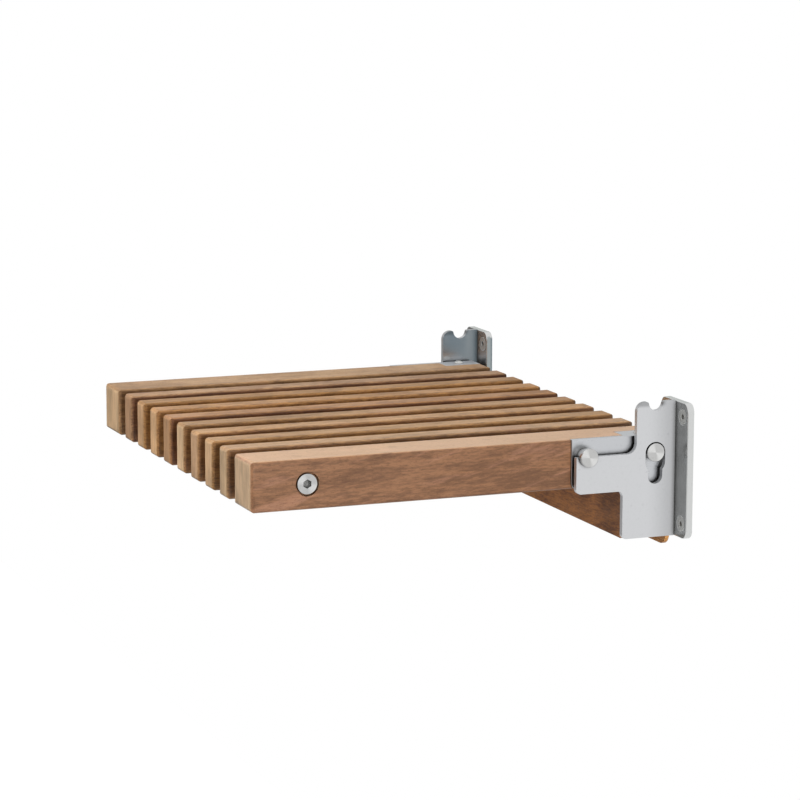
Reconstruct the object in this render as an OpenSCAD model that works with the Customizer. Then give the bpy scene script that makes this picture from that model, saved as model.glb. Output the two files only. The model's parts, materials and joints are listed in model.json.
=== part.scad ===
// Fold down wall seat, in millimetres.
// X runs along the wall, the wall is the plane Y = 0 and the seat stands out towards -Y, Z is up.
// The origin is the middle of the wall screw pattern.

/* [Seat] */
// Width over the outer slats
seat_w = 440; // [360:5:520]
// Length of the slats, square to the wall
seat_l = 396; // [340:0.5:460]
// Height of the slats
slat_h = 45; // [42:0.5:50]
// Width of an outer slat
outer_slat_w = 45; // [40:1:56]
// Width of an inner slat
inner_slat_w = 22; // [16:1:28]
// Rounding of the long edges of the slats
wood_round = 2.5; // [1:0.5:4]
// Rounding of the ends of the slats
end_round = 5; // [4:0.5:7]
// Slats reaching past the pivot axis towards the wall
rear_reach = 14.5; // [9:0.5:14.5]

/* [Pins] */
// Diameter of the pivot pins and the stop pins
pin_d = 14; // [12:0.5:16]
// Diameter of their heads, outside the side plates
pin_head_d = 17; // [16:0.5:19]
// Distance from pivot pin to stop pin
pin_pitch = 67; // [60:1:75]
// Pivot axis to the wall
pivot_off = 26; // [26:0.5:30]
// Pin axes below the top of the slats
pin_below_top = 15; // [12:0.1:15.6]
// Height that the seat drops when it is folded up
lift = 21.6; // [18:0.1:24]
// Clearance of a pin in its slot and its notches
pin_clear = 0.2; // [0.1:0.05:0.4]
// Space between a side plate and the pin heads
head_space = 0.3; // [0.2:0.1:0.4]
// Pivot pin standing out of the side plate
pivot_proud = 1.5; // [1.5:0.5:4]
// Stop pin standing out of the side plate
stop_proud = 4.5; // [2:0.5:8]
// Chamfer at the free end of a pin
pin_chamfer = 0.5; // [0.2:0.1:1]
// Diameter of the riveted end of a pin
spigot_d = 10; // [6:0.5:11]

/* [Brackets] */
// Height of the wall plates and side plates
plate_h = 124; // [118:1:140]
// Width of a wall plate
plate_w = 54; // [50:1:60]
// Thickness of a wall plate
plate_t = 6.5; // [5:0.5:7]
// Rounding of the wall plate corners
plate_round = 8; // [3:0.5:9]
// Thickness of a side plate
side_t = 5; // [4:0.5:7]
// Middle of the top notch below the top of the side plate
notch_sink = 0.9; // [0:0.1:2]
// Ear of the side plate, in front of the top notch
ear_w = 11.6; // [10.6:0.2:16]
// Rounding of the ear
ear_round = 8.5; // [4:0.5:8.5]
// Hollow corner between riser and arm
riser_fillet = 9; // [4:0.5:12]
// Nib of the arm, in front of its notch
nib_w = 3.8; // [2:0.2:6]
// Height of the arm
arm_h = 33.5; // [32:0.5:38]
// Rounding under the front of the arm
arm_round = 5; // [2:0.5:8]
// Leg of the side plate, front edge to the wall
leg_d = 58; // [54:0.5:64]
// Hollow corner between arm and leg
leg_fillet = 5; // [2:0.5:8]
// Rounding at the foot of the leg
leg_round = 4; // [2:0.5:6]
// Rounding of the lips of the top notch
lip_round = 2; // [0.5:0.5:2]
// Rounding of the lips of the arm notch
nib_round = 0.8; // [0.2:0.1:1]
// Width of the upper part of the slot
slot_top_w = 19.6; // [19:0.1:21]
// Space over the pivot pin in the slot
slot_top_gap = 2.5; // [1.5:0.1:3]
// Distance between the round ends of the upper part of the slot
slot_top_run = 8.6; // [6:0.2:10]

/* [Wall screws] */
// Distance between the screws of a wall plate, up and down
wall_screw_rise = 98; // [90:1:104]
// Distance between the screws of a wall plate, side to side
wall_screw_span = 32; // [30:1:36]
// Diameter of the shank in the wall plate
wall_screw_d = 8; // [7.5:0.5:9]
// Diameter of the thread behind the wall plate
wall_thread_d = 7.2; // [5:0.1:7.2]
// Head diameter
wall_head_d = 14; // [12:0.5:15]
// Length of the thread behind the wall plate
wall_screw_l = 10; // [8:1:60]
// Width of the hex socket
wall_hex_w = 5; // [4:0.5:6]
// Depth of the hex socket
wall_hex_deep = 2.6; // [1.5:0.1:3]

/* [Rail] */
// Space between the slats and the cross rail
rail_space = 4.2; // [4.2:0.2:10]
// Rail set back from the front of the legs
rail_set = 0.5; // [0.3:0.1:3]
// Rounding of the edges of the rail
rail_round = 0.5; // [0.3:0.1:3]
// Thickness of the back board
board_t = 4; // [4:0.2:10]
// Space between the back board and the wall plates
board_space = 1.5; // [0.3:0.1:2]
// Back board reaching below the rail
board_drop = 10; // [4:0.5:14]
// Rounding of the lower corners of the back board
board_corner = 11; // [4:0.5:12]
// Dowels in the ends of the rail
dowel_d = 8; // [6:0.5:10]
// Depth of the dowels in the rail
dowel_l = 25; // [15:1:40]
// Distance between the dowels of one end
dowel_pitch = 20; // [16:0.5:22]

/* [Hinge plates] */
// Thickness of the upright leg
hinge_t = 5; // [4:0.5:6]
// Upright leg let into the slat
hinge_inlay = 3; // [2:0.25:3.5]
// Space between a hinge plate and its side plate
hinge_space = 3; // [1.5:0.5:6]
// Upright leg in front of the stop pin axis
hinge_reach = 12; // [11:0.5:14]
// Hinge plates set back from the rear ends of the slats
hinge_set = 3; // [2.5:0.5:5]
// Rounding of the lower front corner
hinge_round = 6; // [3:0.5:10]
// Length of the top tab
tab_l = 38; // [32:1:44]
// Width of the top tab
tab_w = 24; // [20:0.5:28]
// Thickness of the top tab
tab_t = 3; // [2:0.25:4]
// Space round a hinge plate in the wood
inlay_clear = 0.3; // [0.2:0.05:0.6]
// Diameter of the hinge plate screws
hinge_screw_d = 4.5; // [3:0.5:5]
// Head diameter of the countersunk screws
hinge_head_d = 9; // [8:0.5:10]
// Length of the hinge plate screws in the wood
hinge_screw_l = 28; // [20:1:32]
// Head diameter of the button screw
button_d = 10; // [8:0.5:12]
// Head height of the button screw
button_h = 3; // [2:0.25:3.5]
// Width of the hex sockets
hinge_hex_w = 3; // [2:0.5:3.5]
// Depth of the hex sockets
hinge_hex_deep = 1.6; // [1:0.1:2]

/* [Rods] */
// Front rod to the front of the slats
front_rod_set = 52.5; // [40:0.5:70]
// Rear rod to the rear ends of the slats
rear_rod_set = 59; // [57:0.5:61]
// Diameter of the rods
rod_d = 10; // [8:0.5:10]
// Outer diameter of the spacer tubes
spacer_d = 22; // [18:0.5:26]
// Head diameter of the sleeve nuts
nut_head_d = 18.4; // [16:0.2:19]
// Head thickness of the sleeve nuts
nut_head_t = 5; // [4:0.5:7]
// Outer diameter of the sleeve
nut_d = 13; // [12.5:0.5:14]
// Length of a sleeve nut
nut_l = 29; // [24:1:34]
// Thread length that a rod has in a sleeve nut
thread_l = 18; // [12:1:20]
// Width of the hex socket
nut_hex_w = 7; // [5:0.5:8]
// Depth of the hex socket
nut_hex_deep = 4; // [3:0.5:5]
// Counterbore diameter
bore_d = 21.7; // [20:0.1:23]
// Sleeve nut head below the face of the slat
nut_sunk = 0.5; // [0.3:0.1:1.5]
// Space round rods, sleeves, screws and dowels in their holes
hole_clear = 0.3; // [0.1:0.05:0.5]

/* [Hidden] */
$fn = 64;
inner_slats = 8;
gaps = inner_slats + 1;
// overrun of every cut
cut = 1;

// Levels, worked out from the top notch, where the stop pin rests when the seat is folded up
plate_top = plate_h / 2;
plate_foot = -plate_h / 2;
notch_z = plate_top - notch_sink;
pin_z = notch_z - pin_pitch + lift;
seat_top = pin_z + pin_below_top;
slat_mid = seat_top - slat_h / 2;
slat_foot = seat_top - slat_h;

// Places across the seat
slat_face = seat_w / 2;
hinge_in = slat_face - hinge_inlay;
hinge_out = hinge_in + hinge_t;
side_in = hinge_out + hinge_space;
side_mid = side_in + side_t / 2;
side_out = side_in + side_t;
slat_gap = (seat_w - 2 * outer_slat_w - inner_slats * inner_slat_w) / gaps;
slat_pitch = inner_slat_w + slat_gap;

// Places from the wall
pivot_y = -pivot_off;
stop_y = pivot_y - pin_pitch;
slat_rear = pivot_y + rear_reach;
slat_front = slat_rear - seat_l;
front_rod_y = slat_front + front_rod_set;
rear_rod_y = slat_rear - rear_rod_set;
notch_r = pin_d / 2 + pin_clear;
riser_d = pivot_off + notch_r + ear_w;
arm_d = nib_w + notch_r - stop_y;
hinge_front = stop_y - hinge_reach;
hinge_rear = slat_rear - hinge_set;
hinge_l = hinge_rear - hinge_front;

// Upper part of the slot
slot_top_r = slot_top_w / 2;
slot_top_z = pin_z + pin_d / 2 + slot_top_gap - slot_top_r;

// Cross rail and back board
board_rear = -plate_t - board_space;
rail_front = rail_set - leg_d;
rail_rear = board_rear - board_t;
rail_d = rail_rear - rail_front;
rail_mid = (rail_front + rail_rear) / 2;
rail_top = slat_foot - rail_space;
rail_h = rail_top - plate_foot;
rail_end = side_in - inlay_clear;
dowel_z = (plate_foot + rail_top) / 2;

// Screws of the back board, as shares of half its length
board_screw_shares = [-0.8, -0.27, 0.27, 0.8];

// Screws of the hinge plate, as shares of its length and of its height
hinge_screw_shares = [[0.12, 0.3], [0.5, 0.22], [0.73, 0.22]];

// Where the heads of the sleeve nuts end, front and rear
front_head_x = slat_face - nut_sunk;
rear_head_x = hinge_in - nut_sunk;

// Ball that rounds the head of the button screw
button_ball_r = button_d * button_d / 8 / button_h + button_h / 2;

// Rectangle with round corners, round its middle
module soft_rect(size, r) {
    square([size[0] - 2 * r, size[1]], center = true);
    square([size[0], size[1] - 2 * r], center = true);
    for (x = [-1, 1], y = [-1, 1])
        translate([x * (size[0] / 2 - r), y * (size[1] / 2 - r)])
            circle(r = r);
}

// Block round its middle, with the radii of its edges along X, Y and Z
module soft_block(size, radii) {
    intersection() {
        linear_extrude(size[2], center = true)
            soft_rect([size[0], size[1]], radii[2]);
        rotate([90, 0, 0])
            linear_extrude(size[1], center = true)
                soft_rect([size[0], size[2]], radii[1]);
        rotate([90, 0, 90])
            linear_extrude(size[0], center = true)
                soft_rect([size[1], size[2]], radii[0]);
    }
}

// Right-hand pieces mirrored to the left
module left() {
    mirror([1, 0, 0])
        children();
}

// Cylinder along X from x0 to x1
module bar_x(d, x0, x1) {
    translate([x0, 0, 0])
        rotate([0, 90, 0])
            cylinder(d = d, h = x1 - x0);
}

// Hexagon of width w over its flats
module hexagon(w, deep) {
    cylinder(r = w / sqrt(3), h = deep, $fn = 6);
}

// Countersunk screw down -Z with the top of its head at Z = 0
module sunk_screw(d, head_d, l, hex_w, hex_deep) {
    head_h = (head_d - d) / 2;
    difference() {
        union() {
            translate([0, 0, -head_h])
                cylinder(d1 = d, d2 = head_d, h = head_h);
            translate([0, 0, -l])
                cylinder(d = d, h = l);
        }
        translate([0, 0, -hex_deep])
            hexagon(hex_w, hex_deep + cut);
    }
}

// Hole for the countersunk screw, open above Z = 0
module sunk_hole(d, head_d, l) {
    hole_d = d + 2 * hole_clear;
    mouth_d = head_d + 2 * hole_clear;
    translate([0, 0, -l])
        cylinder(d = hole_d, h = l + cut);
    translate([0, 0, -(head_d - d) / 2])
        cylinder(d1 = hole_d, d2 = mouth_d, h = (head_d - d) / 2);
    cylinder(d = mouth_d, h = cut);
}

// Places of the four screws of the right wall plate
module at_wall_screws() {
    for (x = [-1, 1], z = [-1, 1])
        translate([side_mid + x * wall_screw_span / 2, -plate_t, z * wall_screw_rise / 2])
            rotate([90, 0, 0])
                children();
}

module wall_plate() {
    color("silver")
        difference() {
            translate([side_mid, 0, 0])
                rotate([90, 0, 0])
                    linear_extrude(plate_t)
                        soft_rect([plate_w, plate_h], plate_round);
            at_wall_screws()
                sunk_hole(wall_screw_d, wall_head_d, plate_t + cut);
        }
}

module wall_screws() {
    color("gray")
        at_wall_screws() {
            sunk_screw(wall_screw_d, wall_head_d, plate_t, wall_hex_w, wall_hex_deep);
            translate([0, 0, -plate_t - wall_screw_l])
                cylinder(d = wall_thread_d, h = wall_screw_l);
        }
}

// Round off the corner at [y, z], whose metal lies towards -Y * sy and -Z * sz
module corner_off(y, z, sy, sz, r) {
    difference() {
        translate([sy > 0 ? y - r : y - cut, sz > 0 ? z - r : z - cut])
            square([r + cut, r + cut]);
        translate([y - sy * r, z - sz * r])
            circle(r = r);
    }
}

// Fill the hollow corner at [y, z], whose open side lies towards Y * sy and Z * sz
module corner_fill(y, z, sy, sz, r) {
    difference() {
        translate([sy > 0 ? y : y - r, sz > 0 ? z : z - r])
            square([r, r]);
        translate([y + sy * r, z + sz * r])
            circle(r = r);
    }
}

// Outline of the side plate without its slot and notches
module side_outline() {
    difference() {
        union() {
            translate([-riser_d, plate_foot])
                square([riser_d - plate_t, plate_h]);
            translate([-arm_d, pin_z - arm_h])
                square([arm_d - plate_t, arm_h]);
            translate([-leg_d, plate_foot])
                square([leg_d - plate_t, pin_z - plate_foot]);
            corner_fill(-riser_d, pin_z, -1, 1, riser_fillet);
            corner_fill(-leg_d, pin_z - arm_h, -1, -1, leg_fillet);
        }
        corner_off(-riser_d, plate_top, -1, 1, ear_round);
        corner_off(-arm_d, pin_z - arm_h, -1, -1, arm_round);
        corner_off(-arm_d, pin_z, -1, 1, nib_round);
        corner_off(-leg_d, plate_foot, -1, -1, leg_round);
    }
}

// Half-round notch whose middle lies sink below the top edge at [y, z], with rounded lips
module notch(y, z, sink, lip) {
    translate([y, z - sink])
        circle(r = notch_r);
    translate([y - notch_r, z - sink])
        square([2 * notch_r, sink + cut]);
    corner_off(y - notch_r, z, 1, 1, lip);
    corner_off(y + notch_r, z, -1, 1, lip);
}

// Keyhole slot: wide where the pin turns, narrow where it drops
module keyhole() {
    for (z = [slot_top_z, slot_top_z - slot_top_run])
        translate([pivot_y, z])
            circle(r = slot_top_r);
    translate([pivot_y - slot_top_r, slot_top_z - slot_top_run])
        square([2 * slot_top_r, slot_top_run]);
    translate([pivot_y, pin_z - lift])
        circle(r = notch_r);
    translate([pivot_y - notch_r, pin_z - lift])
        square([2 * notch_r, lift + slot_top_z - pin_z]);
}

module side_plate() {
    color("lightgray")
        translate([side_in, 0, 0])
            rotate([90, 0, 90])
                linear_extrude(side_t)
                    difference() {
                        side_outline();
                        notch(pivot_y, plate_top, notch_sink, lip_round);
                        notch(stop_y, pin_z, 0, nib_round);
                        keyhole();
                    }
}

// Places of the two dowels of the right end of the rail
module at_dowels() {
    for (y = [-1, 1])
        translate([0, rail_mid + y * dowel_pitch / 2, dowel_z])
            children();
}

module rail_dowels() {
    color("gray")
        for (side = [0, 1])
            mirror([side, 0, 0])
                at_dowels()
                    bar_x(dowel_d, side_in - dowel_l, side_in);
}

// Places of the back board screws, heads towards the wall
module at_board_screws() {
    for (s = board_screw_shares)
        translate([s * rail_end, board_rear, dowel_z])
            rotate([-90, 0, 0])
                children();
}

module board_screws() {
    color("gray")
        at_board_screws()
            sunk_screw(hinge_screw_d, hinge_head_d, hinge_screw_l, hinge_hex_w, hinge_hex_deep);
}

module cross_rail() {
    color("saddlebrown")
        difference() {
            translate([0, rail_mid, dowel_z])
                soft_block([2 * rail_end, rail_d, rail_h], [rail_round, rail_round, rail_round]);
            for (side = [0, 1])
                mirror([side, 0, 0])
                    at_dowels()
                        bar_x(dowel_d + 2 * hole_clear, side_in - dowel_l - hole_clear, side_in + cut);
            at_board_screws()
                translate([0, 0, -hinge_screw_l - hole_clear])
                    cylinder(d = hinge_screw_d + 2 * hole_clear, h = hinge_screw_l);
        }
}

module back_board() {
    color("peru")
        difference() {
            translate([0, board_rear, dowel_z - board_drop / 2])
                rotate([90, 0, 0])
                    linear_extrude(board_t)
                        soft_rect([2 * rail_end, rail_h + board_drop], board_corner);
            at_board_screws()
                sunk_hole(hinge_screw_d, hinge_head_d, board_t + cut);
        }
}

// Places of the countersunk screws of the right hinge plate
module at_hinge_screws() {
    for (s = hinge_screw_shares)
        translate([hinge_out, hinge_front + s[0] * hinge_l, slat_foot + s[1] * slat_h])
            rotate([0, 90, 0])
                children();
}

// Place of the button screw on the right top tab
module at_tab_screw() {
    translate([hinge_out - tab_w / 2, hinge_rear - tab_l / 2, seat_top])
        children();
}

// Upright leg of the hinge plate, c larger all round, with its open sides overrun by over
module hinge_leg(c, over) {
    translate([hinge_in - c, 0, 0])
        rotate([90, 0, 90])
            linear_extrude(hinge_t + c + over)
                difference() {
                    translate([hinge_front - c, slat_foot - c])
                        square([hinge_l + c + over, slat_h + c + over]);
                    corner_off(hinge_front - c, slat_foot - c, -1, -1, hinge_round + c);
                }
}

// Top tab of the hinge plate, c larger all round, with its open sides overrun by over
module hinge_tab(c, over) {
    translate([hinge_out - tab_w - c, hinge_rear - tab_l - c, seat_top - tab_t - c])
        cube([tab_w + c + over, tab_l + c + over, tab_t + c + over]);
}

module hinge_plate() {
    color("lightsteelblue")
        difference() {
            union() {
                hinge_leg(0, 0);
                hinge_tab(0, 0);
            }
            at_hinge_screws()
                sunk_hole(hinge_screw_d, hinge_head_d, hinge_t + cut);
            at_tab_screw()
                translate([0, 0, -tab_t - cut])
                    cylinder(d = hinge_screw_d + 2 * hole_clear, h = tab_t + 2 * cut);
            for (y = [pivot_y, stop_y])
                translate([0, y, pin_z])
                    bar_x(spigot_d + 2 * pin_clear, hinge_in - cut, hinge_out + cut);
        }
}

module hinge_screws() {
    color("gray")
        at_hinge_screws()
            sunk_screw(hinge_screw_d, hinge_head_d, hinge_screw_l, hinge_hex_w, hinge_hex_deep);
}

module tab_screw() {
    color("silver")
        at_tab_screw()
            difference() {
                union() {
                    intersection() {
                        cylinder(d = button_d, h = button_h);
                        translate([0, 0, button_h - button_ball_r])
                            sphere(r = button_ball_r);
                    }
                    translate([0, 0, -hinge_screw_l])
                        cylinder(d = hinge_screw_d, h = hinge_screw_l);
                }
                translate([0, 0, button_h - hinge_hex_deep])
                    hexagon(hinge_hex_w, hinge_hex_deep + cut);
            }
}

// Pin with a riveted end in the hinge plate and a chamfered head that ends at x_end
module pin(y, x_end) {
    head_x = side_out + head_space;
    color("silver")
        translate([0, y, pin_z]) {
            bar_x(spigot_d, hinge_in, hinge_out);
            bar_x(pin_d, hinge_out, head_x);
            bar_x(pin_head_d, head_x, x_end - pin_chamfer);
            translate([x_end - pin_chamfer, 0, 0])
                rotate([0, 90, 0])
                    cylinder(d1 = pin_head_d, d2 = pin_head_d - 2 * pin_chamfer, h = pin_chamfer);
        }
}

// Middle of slat number n, counted from the left
function slat_x(n) =
    n == 1 ? -slat_face + outer_slat_w / 2 :
    n == gaps + 1 ? slat_face - outer_slat_w / 2 :
    -slat_face + outer_slat_w + slat_gap + (n - 2) * slat_pitch + inner_slat_w / 2;

// Both rods pass through the same places in every slat
module at_rods() {
    for (y = [front_rod_y, rear_rod_y])
        translate([0, y, slat_mid])
            children();
}

// Inner slat with its rod holes
module inner_slat(n) {
    color("burlywood")
        difference() {
            translate([slat_x(n), slat_rear - seat_l / 2, slat_mid])
                soft_block([inner_slat_w, seat_l, slat_h], [end_round, wood_round, end_round]);
            at_rods()
                bar_x(rod_d + 2 * hole_clear, slat_x(n) - inner_slat_w, slat_x(n) + inner_slat_w);
        }
}

// Room for a sleeve nut in the outer slat, open towards +X
module nut_room(head_x) {
    bar_x(bore_d, head_x - nut_head_t, slat_face + cut);
    bar_x(nut_d + 2 * hole_clear, head_x - nut_l - hole_clear, slat_face);
}

// Right outer slat, cut out for the hinge plate, the screws and the sleeve nuts
module outer_slat() {
    color("tan")
        difference() {
            translate([slat_x(gaps + 1), slat_rear - seat_l / 2, slat_mid])
                soft_block([outer_slat_w, seat_l, slat_h], [end_round, wood_round, end_round]);
            hinge_leg(inlay_clear, hinge_set + cut);
            hinge_tab(inlay_clear, hinge_set + cut);
            translate([0, front_rod_y, slat_mid])
                nut_room(front_head_x);
            translate([0, rear_rod_y, slat_mid])
                nut_room(rear_head_x);
            at_rods()
                bar_x(rod_d + 2 * hole_clear, slat_face - outer_slat_w - cut, slat_face - nut_head_t);
            at_hinge_screws()
                translate([0, 0, -hinge_screw_l - hole_clear])
                    cylinder(d = hinge_screw_d + 2 * hole_clear, h = hinge_screw_l);
            at_tab_screw()
                translate([0, 0, -hinge_screw_l - hole_clear])
                    cylinder(d = hinge_screw_d + 2 * hole_clear, h = hinge_screw_l);
        }
}

// Rod from sleeve nut to sleeve nut, whose heads end at head_x
module rod(y, head_x) {
    rod_end = head_x - nut_l + thread_l;
    color("gray")
        translate([0, y, slat_mid])
            bar_x(rod_d, -rod_end, rod_end);
}

// One tube in each gap
module spacers(y) {
    color("dimgray")
        for (n = [1:gaps]) {
            x0 = n == 1 ? -slat_face + outer_slat_w : slat_x(n) + inner_slat_w / 2;
            translate([0, y, slat_mid])
                difference() {
                    bar_x(spacer_d, x0, x0 + slat_gap);
                    bar_x(rod_d + 2 * hole_clear, x0 - cut, x0 + slat_gap + cut);
                }
        }
}

// Right sleeve nut, whose head ends at head_x
module sleeve_nut(y, head_x) {
    color("silver")
        translate([0, y, slat_mid])
            difference() {
                union() {
                    bar_x(nut_head_d, head_x - nut_head_t, head_x);
                    bar_x(nut_d, head_x - nut_l, head_x);
                }
                bar_x(rod_d + 2 * hole_clear, head_x - nut_l - cut, head_x - nut_l + thread_l + hole_clear);
                translate([head_x - nut_hex_deep, 0, 0])
                    rotate([0, 90, 0])
                        hexagon(nut_hex_w, nut_hex_deep + cut);
            }
}

left() wall_plate();  // wall_plate_left
wall_plate();  // wall_plate_right
left() side_plate();  // side_plate_left
side_plate();  // side_plate_right
left() wall_screws();  // wall_screws_left
wall_screws();  // wall_screws_right
cross_rail();
back_board();
rail_dowels();
board_screws();
left() hinge_plate();  // hinge_plate_left
hinge_plate();  // hinge_plate_right
left() hinge_screws();  // hinge_screws_left
hinge_screws();  // hinge_screws_right
left() tab_screw();  // tab_screw_left
tab_screw();  // tab_screw_right
left() pin(pivot_y, side_out + pivot_proud);  // pivot_pin_left
pin(pivot_y, side_out + pivot_proud);  // pivot_pin_right
left() pin(stop_y, side_out + stop_proud);  // stop_pin_left
pin(stop_y, side_out + stop_proud);  // stop_pin_right
left() outer_slat();  // slat_01
inner_slat(2);  // slat_02
inner_slat(3);  // slat_03
inner_slat(4);  // slat_04
inner_slat(5);  // slat_05
inner_slat(6);  // slat_06
inner_slat(7);  // slat_07
inner_slat(8);  // slat_08
inner_slat(9);  // slat_09
outer_slat();  // slat_10
rod(front_rod_y, front_head_x);  // front_rod
rod(rear_rod_y, rear_head_x);  // rear_rod
spacers(front_rod_y);  // front_spacers
spacers(rear_rod_y);  // rear_spacers
left() sleeve_nut(front_rod_y, front_head_x);  // front_nut_left
sleeve_nut(front_rod_y, front_head_x);  // front_nut_right
left() sleeve_nut(rear_rod_y, rear_head_x);  // rear_nut_left
sleeve_nut(rear_rod_y, rear_head_x);  // rear_nut_right
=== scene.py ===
import json
import math

import bmesh
import bpy
from mathutils import Matrix, Vector


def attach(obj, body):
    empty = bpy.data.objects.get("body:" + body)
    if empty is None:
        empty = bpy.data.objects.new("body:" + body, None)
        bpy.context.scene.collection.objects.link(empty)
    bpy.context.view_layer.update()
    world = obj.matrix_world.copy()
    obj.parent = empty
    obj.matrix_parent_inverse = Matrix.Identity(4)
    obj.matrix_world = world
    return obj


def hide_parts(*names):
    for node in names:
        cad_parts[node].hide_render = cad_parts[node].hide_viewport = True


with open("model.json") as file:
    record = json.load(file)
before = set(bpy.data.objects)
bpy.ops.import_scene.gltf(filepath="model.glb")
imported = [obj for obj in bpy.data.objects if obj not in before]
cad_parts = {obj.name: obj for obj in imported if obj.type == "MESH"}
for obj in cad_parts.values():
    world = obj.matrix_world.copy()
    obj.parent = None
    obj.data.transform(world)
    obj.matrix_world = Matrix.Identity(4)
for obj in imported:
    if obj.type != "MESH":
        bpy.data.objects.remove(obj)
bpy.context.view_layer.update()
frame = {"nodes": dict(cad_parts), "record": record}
nodes = frame["nodes"]
bodyOf = {name: body for body, names in frame["record"]["behaviour"]["bodies"].items() for name in names}
print("frame loaded:", len(nodes), "pieces")

cameraLook = {
    "place": (2.69491, -1.25416, 0.54065),
    "azimuth": 68.302,  # degrees round the seat, 0 looks at the wall
    "elevation": 9.8786,
    "roll": 0.165,
    "lens": 139.825,
    "sensor": 36,
    "nearest": 0.05,
    "farthest": 60,
}


def placeCamera():
    data = bpy.data.cameras.new("photoCamera")
    data.sensor_width = cameraLook["sensor"]
    data.lens = cameraLook["lens"]
    data.clip_start = cameraLook["nearest"]
    data.clip_end = cameraLook["farthest"]
    camera = bpy.data.objects.new("photoCamera", data)
    bpy.context.scene.collection.objects.link(camera)
    azimuth, elevation = math.radians(cameraLook["azimuth"]), math.radians(cameraLook["elevation"])
    level = math.cos(elevation)
    back = Vector((math.sin(azimuth) * level, -math.cos(azimuth) * level, math.sin(elevation)))
    right = Vector((0, 0, 1)).cross(back).normalized()
    turn = Matrix((right, back.cross(right), back)).transposed()
    turn = turn @ Matrix.Rotation(math.radians(cameraLook["roll"]), 3, "Z")
    camera.matrix_world = Matrix.Translation(cameraLook["place"]) @ turn.to_4x4()
    bpy.context.scene.camera = camera


placeCamera()
print("camera placed")


def linear(red, green, blue):  # a tone as seen on screen, each from about 10 to 255
    return tuple(((c / 255 + 0.055) / 1.055) ** 2.4 for c in (red, green, blue)) + (1,)


def scaled(colour, amount):  # a colour made darker or lighter, white at most
    return tuple(min(1, c * amount) for c in colour[:3]) + (1,)


class Nodes:  # a small helper round one node tree
    def __init__(self, tree):
        self.tree = tree
        self.count = 0

    def add(self, kind, **values):
        made = self.tree.nodes.new(kind)
        made.location = (self.count * 190 - 1400, -(self.count % 4) * 210)
        self.count += 1
        for name, value in values.items():
            setattr(made, name, value)
        return made

    def join(self, source, target):
        self.tree.links.new(source, target)

    def fill(self, socket, value):  # a number or colour is set, an output is linked
        if isinstance(value, (int, float, tuple)):
            socket.default_value = value
        else:
            self.join(value, socket)

    def math(self, operation, first, second=0.0, third=0.0, clamp=False):
        made = self.add("ShaderNodeMath", operation=operation, use_clamp=clamp)
        for socket, value in zip(made.inputs, (first, second, third)):
            self.fill(socket, value)
        return made.outputs[0]

    def mix(self, factor, first, second, blend="MIX"):
        made = self.add("ShaderNodeMix", data_type="RGBA", blend_type=blend)
        for index, value in zip((0, 6, 7), (factor, first, second)):  # the colour sockets of this node
            self.fill(made.inputs[index], value)
        return made.outputs[2]

    def mixShaders(self, factor, first, second):
        made = self.add("ShaderNodeMixShader")
        for socket, value in zip(made.inputs, (factor, first, second)):
            self.fill(socket, value)
        return made.outputs[0]

    def ramp(self, factor, low, high, start=0.0, end=1.0):  # a smooth step from start to end
        made = self.add("ShaderNodeMapRange", interpolation_type="SMOOTHSTEP")
        for socket, value in zip(made.inputs, (factor, low, high, start, end)):
            self.fill(socket, value)
        return made.outputs[0]

    def sway(self, tone, factor, span, amount, clamp=False):  # darkens and lightens a tone
        return self.math("ADD", tone, self.ramp(factor, *span, -amount, amount), clamp=clamp)

    def split(self, vector):
        made = self.add("ShaderNodeSeparateXYZ")
        self.join(vector, made.inputs[0])
        return made.outputs

    def mapped(self, vector, scale=(1, 1, 1), offset=(0, 0, 0), turn=(0, 0, 0)):
        made = self.add("ShaderNodeMapping")
        self.join(vector, made.inputs["Vector"])
        made.inputs["Scale"].default_value = scale
        made.inputs["Location"].default_value = offset
        made.inputs["Rotation"].default_value = [math.radians(t) for t in turn]
        return made.outputs["Vector"]

    def noise(self, vector, detail=2.0, roughness=0.5):
        made = self.add("ShaderNodeTexNoise")
        self.join(vector, made.inputs["Vector"])
        made.inputs["Scale"].default_value = 1.0
        made.inputs["Detail"].default_value = detail
        made.inputs["Roughness"].default_value = roughness
        return made.outputs[0]

    def figure(self, vector, look, turn=(0, 0, 0)):  # a noise with its own scale and shift
        place = self.mapped(vector, look["scale"], look["shift"], turn)
        return self.noise(place, look["detail"], look["roughness"])

    def bump(self, height, strength, distance):
        made = self.add("ShaderNodeBump")
        made.inputs["Strength"].default_value = strength
        made.inputs["Distance"].default_value = distance
        self.join(height, made.inputs["Height"])
        return made.outputs[0]

    def surface(self, kind, shader):  # the output node of a material or a world
        output = self.add(kind)
        self.join(shader, output.inputs["Surface"])


def newMaterial(name):
    material = bpy.data.materials.new(name)
    material.use_nodes = True
    return material, Nodes(material.node_tree), material.node_tree.nodes["Principled BSDF"]


def emptyMaterial(name):
    material = bpy.data.materials.new(name)
    material.use_nodes = True
    material.node_tree.nodes.clear()
    return material, Nodes(material.node_tree)


studio = {
    "reach": 12.0,  # half the width of floor and wall
    "floorDrop": 0.62,  # floor below the middle of the brackets
    "floorColour": (180, 180, 180),
    "floorGlow": 0.76,  # brings the floor up to white where no shadow lies
    "bounceColour": (118, 114, 110),  # what the floor throws back
    "wallPlace": 0.0003,  # just behind the wall plates
    "skyLevel": 0.34,  # light from all round, 1 shows a colour as it is written
}


def glow(made, level, colour=(255, 255, 255)):
    light = made.add("ShaderNodeEmission")
    light.inputs["Color"].default_value = linear(*colour)
    light.inputs["Strength"].default_value = level
    return light.outputs[0]


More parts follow.
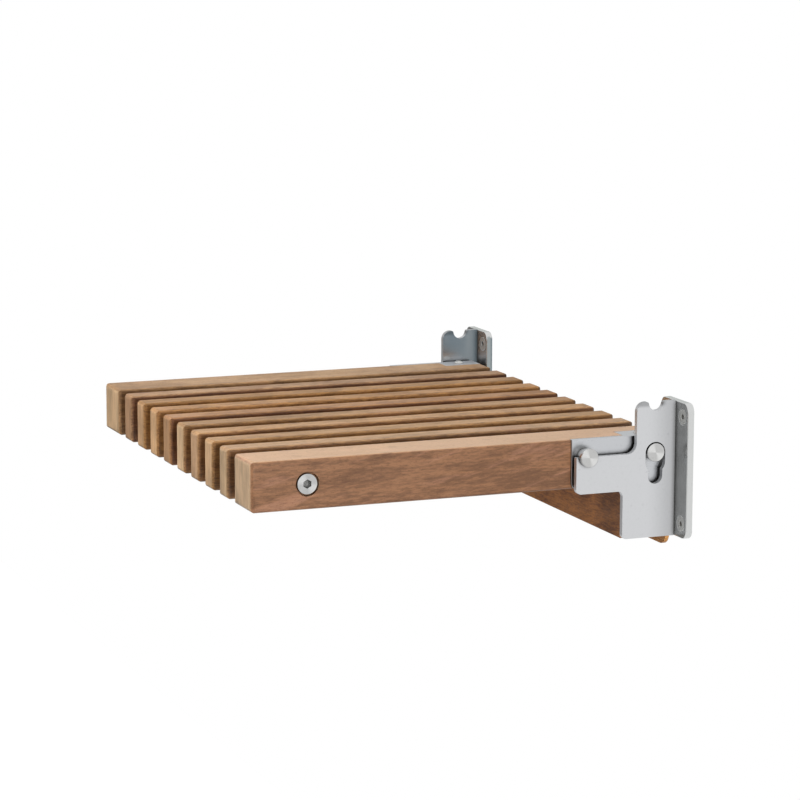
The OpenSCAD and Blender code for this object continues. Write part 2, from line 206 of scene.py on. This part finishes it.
def clearFromBehind(made, shown):
    clear = made.add("ShaderNodeBsdfTransparent")
    side = made.add("ShaderNodeNewGeometry")
    shown = made.mixShaders(side.outputs["Backfacing"], shown, clear.outputs[0])
    made.surface("ShaderNodeOutputMaterial", shown)


def floorMaterial():  # matt, with the object's shadow, white in mirrors
    material, made = emptyMaterial("paleFloor")
    path = made.add("ShaderNodeLightPath")
    matt = made.add("ShaderNodeBsdfDiffuse")
    seenColour, bounceColour = linear(*studio["floorColour"]), linear(*studio["bounceColour"])
    made.join(made.mix(path.outputs["Is Diffuse Ray"], seenColour, bounceColour), matt.inputs["Color"])
    lift = made.add("ShaderNodeAddShader")
    made.join(matt.outputs[0], lift.inputs[0])
    made.join(glow(made, studio["floorGlow"]), lift.inputs[1])
    seen = made.mixShaders(path.outputs["Is Camera Ray"], matt.outputs[0], lift.outputs[0])
    mirrored = made.math("MAXIMUM", path.outputs["Is Glossy Ray"], path.outputs["Is Transmission Ray"])
    clearFromBehind(made, made.mixShaders(mirrored, seen, glow(made, 1.0)))
    return material


def wallMaterial():  # plain white from the front
    material, made = emptyMaterial("paleWall")
    clearFromBehind(made, glow(made, 1.0))
    return material


def flatPanel(name, corners, material):
    mesh = bpy.data.meshes.new(name)
    mesh.from_pydata(corners, [], [range(len(corners))])
    mesh.materials.append(material)
    panel = bpy.data.objects.new(name, mesh)
    bpy.context.scene.collection.objects.link(panel)
    return panel


def buildRoom():
    drop, reach, back = -studio["floorDrop"], studio["reach"], studio["wallPlace"]
    ground = ((-reach, -reach), (reach, -reach), (reach, reach), (-reach, reach))
    flatPanel("floor", [(x, y, drop) for x, y in ground], floorMaterial())
    upright = ((-reach, drop), (reach, drop), (reach, reach), (-reach, reach))
    wall = flatPanel("wall", [(x, back, z) for x, z in upright], wallMaterial())
    wall.visible_diffuse = wall.visible_glossy = wall.visible_transmission = wall.visible_shadow = False


def buildWorld():  # plain white where it is seen or mirrored, dimmer as a light
    world = bpy.data.worlds.new("studioWorld")
    bpy.context.scene.world = world
    world.use_nodes = True
    world.node_tree.nodes.clear()
    made = Nodes(world.node_tree)
    background = made.add("ShaderNodeBackground")
    path = made.add("ShaderNodeLightPath")
    plain = made.math("MAXIMUM", path.outputs["Is Camera Ray"], path.outputs["Is Glossy Ray"])
    plain = made.math("MAXIMUM", plain, path.outputs["Is Transmission Ray"])
    made.join(made.ramp(plain, 0.0, 1.0, studio["skyLevel"], 1.0), background.inputs["Strength"])
    background.inputs["Color"].default_value = (1, 1, 1, 1)
    made.surface("ShaderNodeOutputWorld", background.outputs[0])


lamps = {  # each stands in its direction from one spot on the seat
    "keyLamp": {"direction": (-0.05, -0.62, 0.78), "distance": 2.4, "size": 1.8, "power": 89.0},
    "fillLamp": {"direction": (1, -0.05, 0.02), "distance": 2.0, "size": 1.0, "power": 27.0},
}
lampTarget = (0.05, -0.2, 0)


def buildLamps():
    for name, look in lamps.items():
        data = bpy.data.lights.new(name, "AREA")
        data.shape = "RECTANGLE"
        data.size = data.size_y = look["size"]
        data.energy = look["power"]
        lamp = bpy.data.objects.new(name, data)
        direction = Vector(look["direction"])
        lamp.location = Vector(lampTarget) + direction.normalized() * look["distance"]
        lamp.rotation_euler = direction.to_track_quat("Z", "Y").to_euler()
        lamp.visible_glossy = False  # the steel mirrors only the white room and the cards
        bpy.context.scene.collection.objects.link(lamp)


cards = {  # glowing grey cards that only gloss sees, painted reflections that dim the steel: colour and two opposite corners, flat along one axis
    "leftCard": ((125, 124, 122), (-1.3, -1.7, -0.61), (-1.3, -0.05, 0.35)),
    "topCard": ((212, 215, 213), (-1.3, 0.03, 0.0), (-1.3, 1.4, 0.9)),
    "farCard": ((132, 147, 155), (-0.20, 0.02, -0.16), (0.06, 0.02, 0.075)),
    "edgeCard": ((188, 196, 198), (-0.193, 0.002, -0.16), (-0.174, 0.002, 0.07)),
    "frontCard": ((158, 158, 156), (0.9, -1.3, -0.25), (2.5, -0.12, -0.25)),
}


def cardCorners(low, high):
    flat = [axis for axis in range(3) if low[axis] == high[axis]][0]
    first, second = [axis for axis in range(3) if axis != flat]
    corners = [list(low) for corner in range(4)]
    corners[1][first] = corners[2][first] = high[first]
    corners[2][second] = corners[3][second] = high[second]
    return corners


def buildCards():
    for name, (colour, low, high) in cards.items():
        material, made = emptyMaterial(name)
        made.surface("ShaderNodeOutputMaterial", glow(made, 1.0, colour))
        card = flatPanel(name, cardCorners(low, high), material)
        card.visible_camera = card.visible_diffuse = card.visible_transmission = card.visible_shadow = False


buildRoom()
buildWorld()
buildLamps()
buildCards()
bpy.context.scene.view_settings.view_transform = "Standard"
print("studio built")

slatLook = {  # from left to right: tones, pattern number, painted shade on the sides, and how much paler the top is from wear and painted sheen
    "slat_01": dict(
        dark=(114, 84, 53), light=(158, 122, 82), end=(176, 146, 112),
        pattern=1, blush=0.1, oil=0.0, topWearAndSheen=0.05, side=(0.9, 0.84, 0.78)),
    "slat_02": dict(
        dark=(108, 76, 48), light=(158, 122, 84), end=(148, 114, 84),
        pattern=2, blush=0.1, oil=0.0, topWearAndSheen=0.05, side=(0.58, 0.44, 0.4)),
    "slat_03": dict(
        dark=(112, 80, 42), light=(156, 114, 66), end=(174, 138, 102),
        pattern=3, blush=0.0, oil=0.0, topWearAndSheen=0.0, side=(1.1, 1.0, 0.9)),
    "slat_04": dict(
        dark=(114, 80, 42), light=(166, 122, 74), end=(190, 152, 112),
        pattern=4, blush=0.1, oil=0.0, topWearAndSheen=0.0, side=(1.05, 0.95, 0.85)),
    "slat_05": dict(
        dark=(108, 74, 42), light=(156, 112, 68), end=(152, 116, 82),
        pattern=5, blush=0.1, oil=0.0, topWearAndSheen=0.0, side=(0.56, 0.44, 0.42)),
    "slat_06": dict(
        dark=(112, 82, 48), light=(156, 118, 76), end=(194, 162, 126),
        pattern=6, blush=0.2, oil=0.0, topWearAndSheen=0.0, side=(0.95, 0.82, 0.7)),
    "slat_07": dict(
        dark=(116, 84, 50), light=(168, 128, 84), end=(168, 134, 102),
        pattern=7, blush=0.1, oil=0.0, topWearAndSheen=0.05, side=(0.7, 0.58, 0.5)),
    "slat_08": dict(
        dark=(116, 84, 46), light=(162, 122, 76), end=(182, 148, 112),
        pattern=8, blush=0.1, oil=0.1, topWearAndSheen=0.05, side=(0.9, 0.8, 0.7)),
    "slat_09": dict(
        dark=(116, 86, 54), light=(166, 128, 86), end=(168, 140, 108),
        pattern=9, blush=0.2, oil=0.15, topWearAndSheen=0.1, side=(0.7, 0.6, 0.54)),
    "slat_10": dict(
        dark=(106, 71, 45), light=(145, 102, 69), end=(174, 146, 115),
        pattern=10, blush=0.4, oil=0.3, topWearAndSheen=0.62, side=(1.0, 1.0, 1.0)),
}
railLook = {
    "cross_rail": dict(
        dark=(112, 66, 30), light=(172, 112, 58), end=(140, 100, 66),
        pattern=12, blush=0.1, oil=0.0, topWearAndSheen=0.0, side=(1.0, 1.0, 1.0)),
    "back_board": dict(
        dark=(180, 120, 56), light=(222, 160, 88), end=(200, 146, 86),
        pattern=14, blush=0.0, oil=0.0, topWearAndSheen=0.0, side=(1.0, 1.0, 1.0)),
}
woodFigure = {  # marks to a metre across the board, along it and up; the shift keeps two noises apart
    "clouds": dict(scale=(24, 8, 44), shift=(0, 0, 0), detail=5.0, roughness=0.65),
    "bands": dict(scale=(150, 8, 170), shift=(0, 0, 0), detail=4.0, roughness=0.62),
    "fibre": dict(scale=(620, 90, 620), shift=(0, 0, 0), detail=3.0, roughness=0.7),
    "flecks": dict(scale=(900, 340, 900), shift=(3, 1, 2), detail=2.0, roughness=0.6),
    "blush": dict(scale=(46, 10, 92), shift=(5, 3, 1), detail=4.0, roughness=0.6),
    "veins": dict(scale=(90, 13, 300), shift=(2, 5, 4), detail=3.0, roughness=0.6),
    "endStreaks": dict(scale=(420, 420, 42), shift=(0, 0, 0), detail=3.0, roughness=0.6),
    "endClouds": dict(scale=(60, 60, 26), shift=(0, 0, 0), detail=2.0, roughness=0.5),
}
woodGrain = {
    "clouds": 0.55,  # how far the broad figure reaches from dark to light
    "bands": 0.22,
    "rings": 0.14,
    "fibre": 0.42,
    "flecks": 0.65,
    "veins": 0.5,  # thin dark lines that lean across the board
    "marks": (0.56, 0.48, 0.42, 1),  # tint of flecks and veins
    "lean": 15,  # degrees, to one side or the other
    "blush": (186, 136, 108),
    "topWearAndSheen": (194, 158, 122),  # top faces, paler from wear and painted sheen
    "roughness": 0.46,
    "oilRoughness": 0.32,
    "bump": 0.25,
    "bumpHeight": 0.0004,
    "softSpan": (0.36, 0.64),  # nearly all of a soft noise lies in here
    "fineSpan": (0.34, 0.66),  # and of a fine one here
    "faceSpan": (0.6, 0.98),  # how squarely a face has to point along an axis to count
}
growthRings = {
    "apart": 0.0034,
    "warp": 0.028,
    "aside": (0.12, 0.10),  # how far the middle of the tree lies from the board, at most
}
endGrain = {
    "streaks": 0.6,
    "clouds": 0.4,
    "rings": 0.12,
    "darkest": 0.62,
    "lightest": 1.16,
    "lean": 0.3,  # share of the board's lean
    "faceSpan": (0.66, 0.99),
}


def growthLines(made, spot, seed, clouds):  # rings round a long axis beside the board, each board's its own
    sideways, up = growthRings["aside"]
    centre = (math.sin(seed * 2.4) * sideways, 0, math.cos(seed * 1.9) * up)
    slant = (seed % 3 - 1.2, 0, seed % 4 - 1.6)
    apart = made.split(made.mapped(spot, offset=centre, turn=slant))
    across = made.math("MULTIPLY", apart["X"], apart["X"])
    upright = made.math("MULTIPLY", apart["Z"], apart["Z"])
    radius = made.math("SQRT", made.math("ADD", across, upright))
    radius = made.math("MULTIPLY_ADD", clouds, growthRings["warp"], radius)
    return made.math("PINGPONG", made.math("DIVIDE", radius, growthRings["apart"]), 1.0)


def oiledWood(name, look, alongX=False):
    material, made, shader = newMaterial(name)
    place = made.add("ShaderNodeTexCoord")
    spot = place.outputs["Object"]
    if alongX:  # turn the board's length onto Y, so that one recipe serves all
        spot = made.mapped(spot, turn=(0, 0, 90))
    seed = look["pattern"]
    own = made.mapped(spot, offset=(seed * 0.71, seed * 1.37, seed * 0.53))
    lean = woodGrain["lean"] if seed % 2 else -woodGrain["lean"]
    leaning = made.mapped(own, turn=(lean, 0, 0))
    clouds = made.figure(leaning, woodFigure["clouds"])
    fibre = made.figure(own, woodFigure["fibre"])
    flecks = made.figure(own, woodFigure["flecks"])
    rings = growthLines(made, spot, seed, clouds)
    facing = made.split(place.outputs["Normal"])
    softSpan, fineSpan, faceSpan = woodGrain["softSpan"], woodGrain["fineSpan"], woodGrain["faceSpan"]

    # broad figure that leans across the board, then finer figure along it
    half = woodGrain["clouds"] / 2
    tone = made.ramp(clouds, *softSpan, 0.5 - half, 0.5 + half)
    tone = made.sway(tone, made.figure(own, woodFigure["bands"]), softSpan, woodGrain["bands"])
    tone = made.sway(tone, rings, (0.0, 1.0), woodGrain["rings"] / 2)
    tone = made.sway(tone, fibre, fineSpan, woodGrain["fibre"], clamp=True)
    colour = made.mix(tone, linear(*look["dark"]), linear(*look["light"]))
    blush = made.ramp(made.figure(leaning, woodFigure["blush"]), 0.54, 0.68, 0.0, look["blush"])
    colour = made.mix(blush, colour, linear(*woodGrain["blush"]))
    # the tops are painted paler, partly wear and partly painted sheen
    topWearAndSheen = made.ramp(facing["Z"], *faceSpan, 0.0, look["topWearAndSheen"])
    colour = made.mix(topWearAndSheen, colour, linear(*woodGrain["topWearAndSheen"]))
    # painted shade on the sides that face along X, lighter where the tint is above 1
    sideShade = made.mix(1.0, colour, look["side"] + (1,), "MULTIPLY")
    colour = made.mix(made.ramp(made.math("ABSOLUTE", facing["X"]), *faceSpan), colour, sideShade)
    fleckMarks = made.ramp(flecks, 0.56, 0.68, 0.0, woodGrain["flecks"])
    veinMarks = made.ramp(made.figure(leaning, woodFigure["veins"]), 0.6, 0.7, 0.0, woodGrain["veins"])
    darker = made.mix(1.0, colour, woodGrain["marks"], "MULTIPLY")
    colour = made.mix(made.math("MAXIMUM", fleckMarks, veinMarks), colour, darker)

    # end grain is paler, with upright streaks
    streaks = made.figure(own, woodFigure["endStreaks"], turn=(0, lean * endGrain["lean"], 0))
    streaks = made.ramp(streaks, *fineSpan, 0.0, endGrain["streaks"])
    broad = made.ramp(made.figure(own, woodFigure["endClouds"]), *softSpan, 0.0, endGrain["clouds"])
    endTone = made.math("ADD", streaks, broad)
    endTone = made.math("ADD", endTone, made.math("MULTIPLY", rings, endGrain["rings"]), clamp=True)
    plain = linear(*look["end"])
    endColour = made.mix(endTone, scaled(plain, endGrain["darkest"]), scaled(plain, endGrain["lightest"]))
    endFace = made.ramp(made.math("ABSOLUTE", facing["X" if alongX else "Y"]), *endGrain["faceSpan"])
    made.join(made.mix(endFace, colour, endColour), shader.inputs["Base Color"])

    rough = woodGrain["roughness"]  # the dark figure is duller than the light one
    made.join(made.ramp(clouds, 0.25, 0.75, rough + 0.07, rough - 0.05), shader.inputs["Roughness"])
    shader.inputs["Coat Weight"].default_value = look["oil"]
    shader.inputs["Coat Roughness"].default_value = woodGrain["oilRoughness"]
    shader.inputs["Specular IOR Level"].default_value = 0.5
    height = made.math("SUBTRACT", fibre, made.ramp(flecks, 0.58, 0.69))
    made.join(made.bump(height, woodGrain["bump"], woodGrain["bumpHeight"]), shader.inputs["Normal"])
    return material


sidePlatePaintedShade = {  # painted shade: a side plate is painted darker towards the wall and along the top of its ear
    "rear": 0.7,
    "rearSpan": (-0.036, -0.001),  # along Y
    "lip": 0.62,
    "lipSpan": (0.0555, 0.0605),  # along Z
    "lipEnd": (-0.020, -0.014),  # along Y
}
steelLook = {  # reach: how far the painted corner shade spreads from a corner between two pieces
    "wallPlate": dict(
        colour=(212, 213, 212), rough=0.19, brush="Z", grain=0.01, turned=0,
        reach=0.0035, edge=0.0, frontShadeReach=0.009),
    "sidePlate": dict(
        colour=(211, 212, 214), rough=0.23, brush="Z", grain=0.01, turned=0,
        reach=0.007, edge=0.28, frontShadeReach=0.002, paintedShade=sidePlatePaintedShade),
    "hinge": dict(
        colour=(201, 203, 206), rough=0.28, brush="Y", grain=0.015, turned=0,
        reach=0.007, edge=0.2, frontShadeReach=0.003),
    "pin": dict(
        colour=(196, 196, 195), rough=0.24, brush="X", grain=0.015, turned=0.6,
        reach=0.0055, edge=0.0, frontShadeReach=0.003),
    "wallScrew": dict(
        colour=(226, 226, 222), rough=0.4, brush="X", grain=0.02, turned=0,
        reach=0.006, edge=0.0, frontShadeReach=0.006),
    "screw": dict(
        colour=(200, 200, 198), rough=0.26, brush="X", grain=0.02, turned=0,
        reach=0.0035, edge=0.0, frontShadeReach=0.003),
    "tube": dict(
        colour=(110, 108, 106), rough=0.42, brush="X", grain=0.03, turned=0,
        reach=0.0035, edge=0.0, frontShadeReach=0.003),
}
steelFigure = {
    "clouds": dict(scale=(26, 26, 26), shift=(1, 2, 3), detail=4.0, roughness=0.6),
    "spots": dict(scale=(330, 330, 330), shift=(0, 0, 0), detail=2.0, roughness=0.6),
}
brushScale = {"X": (24, 700, 700), "Y": (700, 24, 700), "Z": (700, 700, 24)}
steelMarksAndShade = {
    "colour": (64, 62, 58),  # of the painted shade, dark lines in the corners
    "openSpan": (0.25, 0.9),  # from full painted shade in a closed corner to none on an open face
    "rays": 8,
    "spots": 0.3,
    "spotTone": 0.75,
    "dullTone": 0.93,
    "brushShare": 0.35,
    "cloudShare": 0.9,
    "bump": 0.05,
    "bumpHeight": 0.0001,
}
turnedShine = {  # painted highlight: the two bright wedges on a turned face
    "angle": 139,  # degrees round the X axis
    "gain": 1.5,
    "share": 0.6,
    "span": (-0.2, 1.0),
}


def brushedSteel(name, look):
    material, made, shader = newMaterial(name)
    place = made.add("ShaderNodeTexCoord")
    spot = place.outputs["Object"]
    lines = made.noise(made.mapped(spot, brushScale[look["brush"]]))
    cloud = made.figure(spot, steelFigure["clouds"])
    spots = made.figure(spot, steelFigure["spots"])
    base = linear(*look["colour"])
    brushed = made.math("MULTIPLY", lines, steelMarksAndShade["brushShare"])
    clouded = made.math("MULTIPLY", cloud, steelMarksAndShade["cloudShare"])
    shade = made.math("ADD", brushed, clouded, clamp=True)
    colour = made.mix(shade, scaled(base, steelMarksAndShade["dullTone"]), base)
    spotted = made.ramp(spots, 0.62, 0.72, 0.0, steelMarksAndShade["spots"])
    colour = made.mix(spotted, colour, scaled(base, steelMarksAndShade["spotTone"]))
    # painted shade, darker towards the wall and along the top of the ear
    if "paintedShade" in look:
        paintedShade = look["paintedShade"]
        where = made.split(spot)
        rear = made.ramp(where["Y"], *paintedShade["rearSpan"], 1.0, paintedShade["rear"])
        top = made.ramp(where["Z"], *paintedShade["lipSpan"])
        top = made.math("MULTIPLY", top, made.ramp(where["Y"], *paintedShade["lipEnd"], 1.0, 0.0))
        level = made.math("MULTIPLY", rear, made.ramp(top, 0.0, 1.0, 1.0, paintedShade["lip"]))
        colour = made.mix(level, (0, 0, 0, 1), colour)
    # painted highlight: two bright wedges round the face of a turned pin
    if look["turned"]:
        middle = made.split(made.mapped(place.outputs["Generated"], offset=(-0.5, -0.5, -0.5)))
        angle = made.math("ARCTAN2", middle["Z"], middle["Y"])
        shift = -2 * math.radians(turnedShine["angle"])
        wave = made.math("COSINE", made.math("MULTIPLY_ADD", angle, 2.0, shift))
        wedge = made.ramp(wave, *turnedShine["span"], 0.0, turnedShine["share"])
        colour = made.mix(wedge, colour, scaled(base, turnedShine["gain"]))

    # painted shade: dark lines in the corners from occlusion, of another reach on faces that look at the
    # room or the wall
    facing = made.split(place.outputs["Normal"])
    toFront = made.ramp(made.math("ABSOLUTE", facing["Y"]), 0.8, 0.95)
    corner = made.add("ShaderNodeAmbientOcclusion", samples=steelMarksAndShade["rays"])
    made.join(made.ramp(toFront, 0.0, 1.0, look["reach"], look["frontShadeReach"]), corner.inputs["Distance"])
    unshaded = made.ramp(corner.outputs["AO"], *steelMarksAndShade["openSpan"])
    made.join(made.mix(unshaded, linear(*steelMarksAndShade["colour"]), colour), shader.inputs["Base Color"])

    # duller in the clouds, along the brushing and on the sawn edges of a plate
    rough = made.ramp(lines, 0.3, 0.7, -look["grain"], look["grain"])
    rough = made.math("ADD", rough, made.ramp(cloud, 0.3, 0.7, look["rough"] - 0.03, look["rough"] + 0.03))
    sawn = made.ramp(made.math("ABSOLUTE", facing["X"]), 0.5, 0.8, look["edge"], 0.0)
    made.join(made.math("ADD", rough, sawn), shader.inputs["Roughness"])
    shader.inputs["Metallic"].default_value = 1.0
    if look["turned"]:  # the finest marks run round the X axis
        shader.inputs["Anisotropic"].default_value = look["turned"]
        tangent = made.add("ShaderNodeTangent", direction_type="RADIAL", axis="X")
        made.join(tangent.outputs[0], shader.inputs["Tangent"])
    made.join(made.bump(lines, steelMarksAndShade["bump"], steelMarksAndShade["bumpHeight"]), shader.inputs["Normal"])
    return material


edgeSize = {  # how far the edges of each kind are rounded
    "wallPlate": 0.0007, "sidePlate": 0.0006, "hinge": 0.0005, "pin": 0.0004,
    "wallScrew": 0.0008, "screw": 0.0004, "tube": 0.0003, "wood": 0.0005,
}
edgeCare = {
    "merge": 0.000002,  # corners closer than this become one
    "flat": 0.6,  # degrees between faces that become one
    "sharp": 35,  # degrees, only edges beyond this are rounded
    "segments": 2,
}


def softCopy(name, material, edge):  # a finished copy of a CAD piece, with soft edges
    mesh = nodes[name].data.copy()
    mesh.name = name + "_finished"
    work = bmesh.new()
    work.from_mesh(mesh)
    bmesh.ops.remove_doubles(work, verts=work.verts, dist=edgeCare["merge"])
    flat = math.radians(edgeCare["flat"])
    bmesh.ops.dissolve_limit(work, angle_limit=flat, verts=work.verts, edges=work.edges)
    for face in work.faces:
        face.smooth = True
    work.to_mesh(mesh)
    work.free()
    mesh.materials.clear()
    mesh.materials.append(material)
    piece = bpy.data.objects.new(name + "_finished", mesh)
    bpy.context.scene.collection.objects.link(piece)
    bevel = piece.modifiers.new("softEdges", "BEVEL")
    bevel.width = edge
    bevel.segments = edgeCare["segments"]
    bevel.limit_method = "ANGLE"
    bevel.angle_limit = math.radians(edgeCare["sharp"])
    smooth = piece.modifiers.new("evenShading", "WEIGHTED_NORMAL")
    smooth.keep_sharp = True
    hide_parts(name)
    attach(piece, bodyOf[name])
    return piece


def buildWood():
    for name, look in slatLook.items():
        softCopy(name, oiledWood(name + "_wood", look), edgeSize["wood"])
    for name, look in railLook.items():
        softCopy(name, oiledWood(name + "_wood", look, alongX=True), edgeSize["wood"])


steelKinds = {
    "wall_plate": "wallPlate", "side_plate": "sidePlate", "hinge_plate": "hinge",
    "pivot_pin": "pin", "stop_pin": "pin", "front_nut": "pin", "rear_nut": "pin",
    "wall_screws": "wallScrew", "hinge_screws": "screw", "tab_screw": "screw",
    "rail_dowels": "screw", "board_screws": "screw", "front_rod": "screw", "rear_rod": "screw",
    "front_spacers": "tube", "rear_spacers": "tube",
}


def buildSteel():
    finish = {kind: brushedSteel(kind + "_steel", look) for kind, look in steelLook.items()}
    for name in nodes:
        for start, kind in steelKinds.items():
            if name.startswith(start):
                piece = softCopy(name, finish[kind], edgeSize[kind])
                # the satin side plates show no mirror image of the wall plates
                piece.visible_glossy = kind not in ("wallPlate", "wallScrew")


buildWood()
print("wood built")
buildSteel()
print("steel built")
